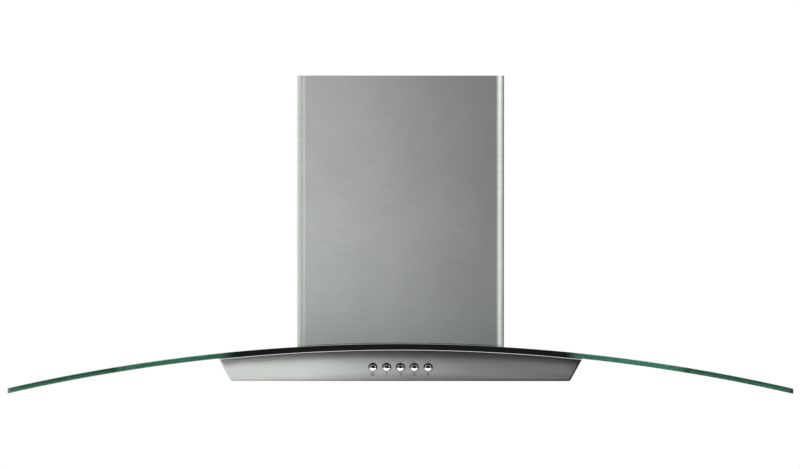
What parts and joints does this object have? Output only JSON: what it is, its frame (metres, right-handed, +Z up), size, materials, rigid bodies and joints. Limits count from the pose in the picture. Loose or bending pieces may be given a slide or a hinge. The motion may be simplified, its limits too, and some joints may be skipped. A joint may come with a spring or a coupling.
{
  "type": "curved glass range hood",
  "caption": "Wall range hood: bent glass canopy over a shallow tapered steel body with push buttons, grease filters, lamps and a square telescopic chimney with a blower.",
  "frame": {"origin": "on the wall plane, on the centre line, level with the body's bottom edge", "axes": "+X to the right seen from the front, along the glass; +Y into the wall; +Z up, along the chimney"},
  "size_m": [0.9, 0.493, 0.3661],
  "materials": {
    "green_edge_glass": "clear bent tempered glass, polished edge",
    "brushed_stainless": "brushed, grain along the width",
    "polished_steel": "polished",
    "zinc_coated_steel": "zinc coated sheet",
    "chrome_cap": "polished chrome",
    "black_rubber": "matt",
    "black_plastic": "moulded",
    "grey_plastic": "moulded",
    "white_plastic": "moulded",
    "circuit_laminate": "lacquered laminate",
    "filter_aluminium": "satin",
    "frosted_lens": "frosted",
    "lamp_reflector": "mirror coated",
    "motor_paint": "stoved paint"
  },
  "bodies": {
    "hood": {"blower_box": "zinc_coated_steel", "blower_gasket": "black_rubber", "body_shell": "brushed_stainless", "button_bezels": "polished_steel", "cable_gland": "black_plastic", "capacitor": "white_plastic", "chimney_brackets": "zinc_coated_steel", "chimney_screws": "zinc_coated_steel", "circuit_board": "circuit_laminate", "collar_screws": "zinc_coated_steel", "fascia": "brushed_stainless", "filter_hinge_brackets": "zinc_coated_steel", "flap_spindle": "polished_steel", "glass_canopy": "green_edge_glass", "glass_gasket": "black_rubber", "glass_rim": "polished_steel", "glass_screws": "zinc_coated_steel", "left_filter_keeper": "polished_steel", "left_lamp_bezel": "polished_steel", "left_lamp_bulb": "lamp_reflector", "left_lamp_housing": "zinc_coated_steel", "left_lamp_lens": "frosted_lens", "lower_chimney": "brushed_stainless", "motor": "motor_paint", "motor_bracket": "zinc_coated_steel", "motor_screws": "zinc_coated_steel", "outlet_collar": "black_plastic", "panel_screws": "polished_steel", "right_filter_keeper": "polished_steel", "right_lamp_bezel": "polished_steel", "right_lamp_bulb": "lamp_reflector", "right_lamp_housing": "zinc_coated_steel", "right_lamp_lens": "frosted_lens", "scroll_left": "grey_plastic", "scroll_right": "grey_plastic", "switch_block": "black_plastic", "terminal_box": "grey_plastic", "terminal_cover": "grey_plastic", "top_plate": "zinc_coated_steel", "underside_panel": "brushed_stainless"},
    "impeller": {"impeller": "grey_plastic", "motor_shaft": "polished_steel"},
    "flap_front": {"flap_front": "black_plastic"},
    "flap_rear": {"flap_rear": "black_plastic"},
    "upper_chimney": {"upper_chimney": "brushed_stainless", "upper_chimney_bracket": "zinc_coated_steel"},
    "button_off": {"button_off": "chrome_cap"},
    "button_one": {"button_one": "chrome_cap"},
    "button_two": {"button_two": "chrome_cap"},
    "button_three": {"button_three": "chrome_cap"},
    "button_lamp": {"button_lamp": "chrome_cap"},
    "left_filter": {"left_filter_frame": "filter_aluminium", "left_filter_mesh": "filter_aluminium"},
    "left_filter_latch": {"left_filter_latch": "polished_steel"},
    "right_filter": {"right_filter_frame": "filter_aluminium", "right_filter_mesh": "filter_aluminium"},
    "right_filter_latch": {"right_filter_latch": "polished_steel"}
  },
  "joints": [
    {"name": "impeller_spin", "type": "hinge", "parent": "hood", "child": "impeller", "pos_m": [0, -0.087, 0.124], "axis": [1, 0, 0], "continuous": true},
    {"name": "flap_front_hinge", "type": "hinge", "parent": "hood", "child": "flap_front", "pos_m": [0, -0.1, 0.2585], "axis": [-1, 0, 0], "range_deg": [0, 72]},
    {"name": "flap_rear_hinge", "type": "hinge", "parent": "hood", "child": "flap_rear", "pos_m": [0, -0.1, 0.2585], "axis": [1, 0, 0], "range_deg": [0, 72]},
    {"name": "upper_chimney_slide", "type": "slide", "parent": "hood", "child": "upper_chimney", "axis": [0, 0, 1], "range_m": [0, 0.25]},
    {"name": "button_off_press", "type": "slide", "parent": "hood", "child": "button_off", "axis": [0, 1, 0.0087], "range_m": [0, 0.0025], "stiffness_N_per_m": 600},
    {"name": "button_one_press", "type": "slide", "parent": "hood", "child": "button_one", "axis": [0, 1, 0.0087], "range_m": [0, 0.0025], "stiffness_N_per_m": 600},
    {"name": "button_two_press", "type": "slide", "parent": "hood", "child": "button_two", "axis": [0, 1, 0.0087], "range_m": [0, 0.0025], "stiffness_N_per_m": 600},
    {"name": "button_three_press", "type": "slide", "parent": "hood", "child": "button_three", "axis": [0, 1, 0.0087], "range_m": [0, 0.0025], "stiffness_N_per_m": 600},
    {"name": "button_lamp_press", "type": "slide", "parent": "hood", "child": "button_lamp", "axis": [0, 1, 0.0087], "range_m": [0, 0.0025], "stiffness_N_per_m": 600},
    {"name": "left_filter_swing", "type": "hinge", "parent": "hood", "child": "left_filter", "pos_m": [0, -0.02869, 0.004], "axis": [1, 0, 0], "range_deg": [0, 80], "deforming": ["left_filter_keeper"]},
    {"name": "left_filter_latch_slide", "type": "slide", "parent": "left_filter", "child": "left_filter_latch", "axis": [0, 1, 0], "range_m": [0, 0.005], "stiffness_N_per_m": 400},
    {"name": "right_filter_swing", "type": "hinge", "parent": "hood", "child": "right_filter", "pos_m": [0, -0.02869, 0.004], "axis": [1, 0, 0], "range_deg": [0, 80], "deforming": ["right_filter_keeper"]},
    {"name": "right_filter_latch_slide", "type": "slide", "parent": "right_filter", "child": "right_filter_latch", "axis": [0, 1, 0], "range_m": [0, 0.005], "stiffness_N_per_m": 400}
  ]
}
